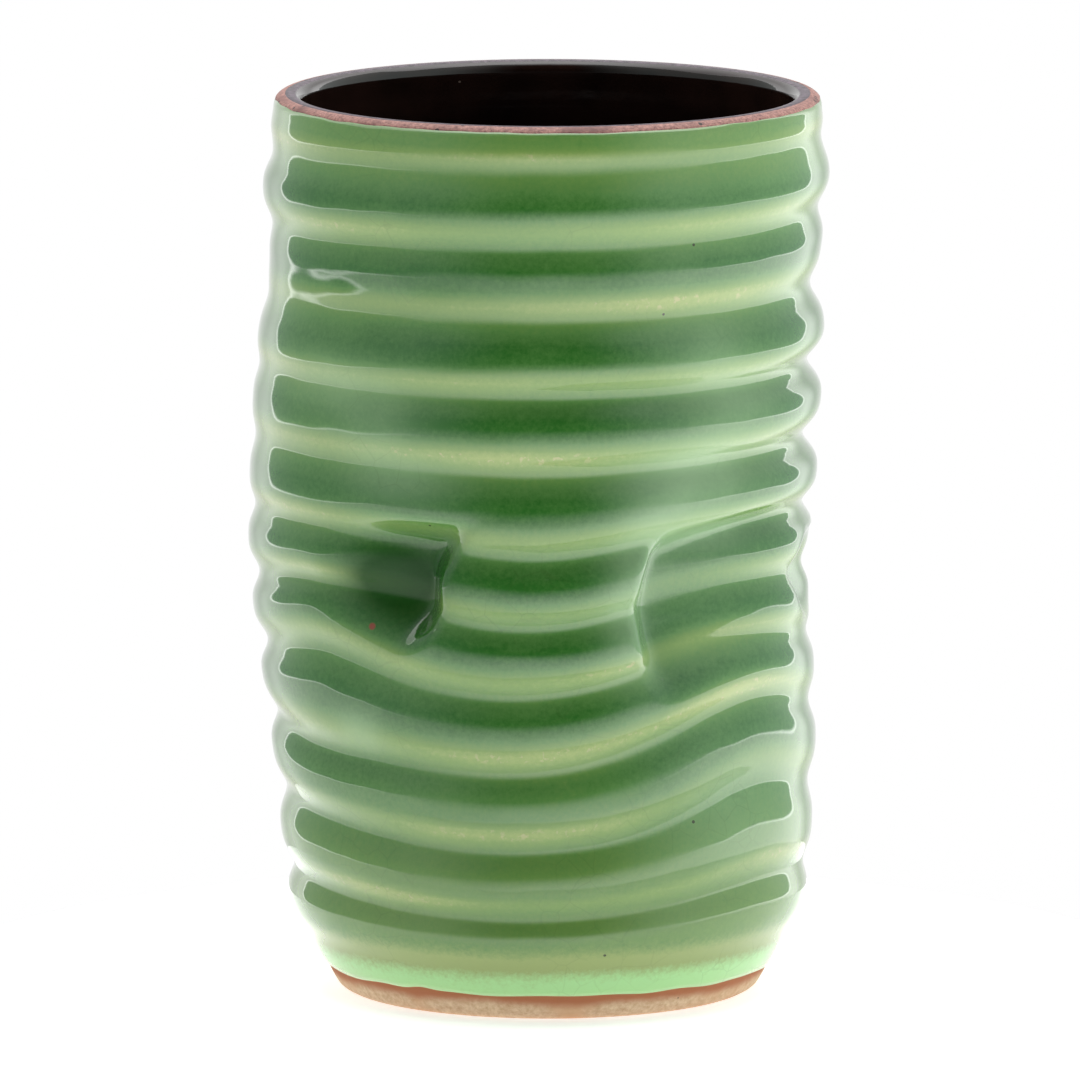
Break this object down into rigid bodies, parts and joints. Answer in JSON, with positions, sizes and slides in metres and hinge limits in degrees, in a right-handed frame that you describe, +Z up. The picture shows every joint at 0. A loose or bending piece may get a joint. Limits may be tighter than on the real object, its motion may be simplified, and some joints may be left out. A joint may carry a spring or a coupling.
{
  "type": "brush holder pot",
  "caption": "Thrown stoneware pot, open at the top, with throwing ridges, finger dents, green glaze outside and dark glaze inside, for standing brushes or pens in.",
  "frame": {"origin": "centre of the flat underside of the foot", "axes": "+Z up through the mouth, -Y the front with the two large finger dents, +X to the right seen from the front"},
  "size_m": [0.0775, 0.0764, 0.12],
  "materials": {
    "bare_clay": "bare fired clay, matt, fine sandy grain",
    "green_glaze": "glossy translucent green celadon, finely crazed",
    "dark_glaze": "glossy dark brown glaze",
    "iron_band": "thin dry red-brown iron stain, satin"
  },
  "bodies": {
    "root": {"stoneware_body": "bare_clay", "celadon_glaze": "green_glaze", "interior_glaze": "dark_glaze", "rim_iron_band": "iron_band"}
  },
  "joints": []
}
